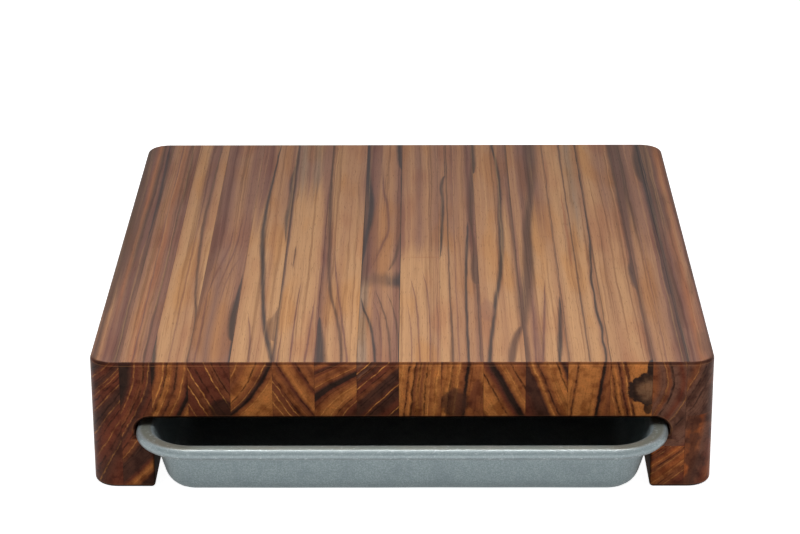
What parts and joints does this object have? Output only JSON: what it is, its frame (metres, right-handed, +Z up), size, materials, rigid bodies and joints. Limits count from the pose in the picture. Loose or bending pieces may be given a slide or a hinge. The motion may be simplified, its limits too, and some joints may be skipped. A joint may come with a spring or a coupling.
{
  "type": "cutting board with drawer tray",
  "caption": "Thick edge-grain wood cutting board on two side rails, with a shallow metal tray that slides out from under it.",
  "frame": {"origin": "on the resting plane, under the middle of the whole object with the tray pushed home", "axes": "+Z up through the cutting surface, -Y towards the front where the tray stands proud and slides out, +X to the right seen from the front"},
  "size_m": [0.283, 0.3316, 0.062],
  "materials": {
    "teak": "oiled satin",
    "tray_aluminium": "satin, unpolished",
    "rim_steel": "galvanised"
  },
  "bodies": {
    "board": {"deck_stave_01": "teak", "deck_stave_02": "teak", "deck_stave_03": "teak", "deck_stave_04": "teak", "deck_stave_05": "teak", "deck_stave_06": "teak", "deck_stave_07": "teak", "deck_stave_08": "teak", "deck_stave_09": "teak", "deck_stave_10": "teak", "deck_stave_11": "teak", "deck_stave_12": "teak", "left_rail_outer": "teak", "left_rail_inner": "teak", "right_rail_outer_upper": "teak", "right_rail_outer_lower": "teak", "right_rail_inner_upper": "teak", "right_rail_ledge": "teak"},
    "tray": {"tray_pan": "tray_aluminium", "rim_wire": "rim_steel"}
  },
  "joints": [
    {"name": "tray_slide", "type": "slide", "parent": "board", "child": "tray", "axis": [0, -1, 0], "range_m": [0, 0.31]}
  ]
}
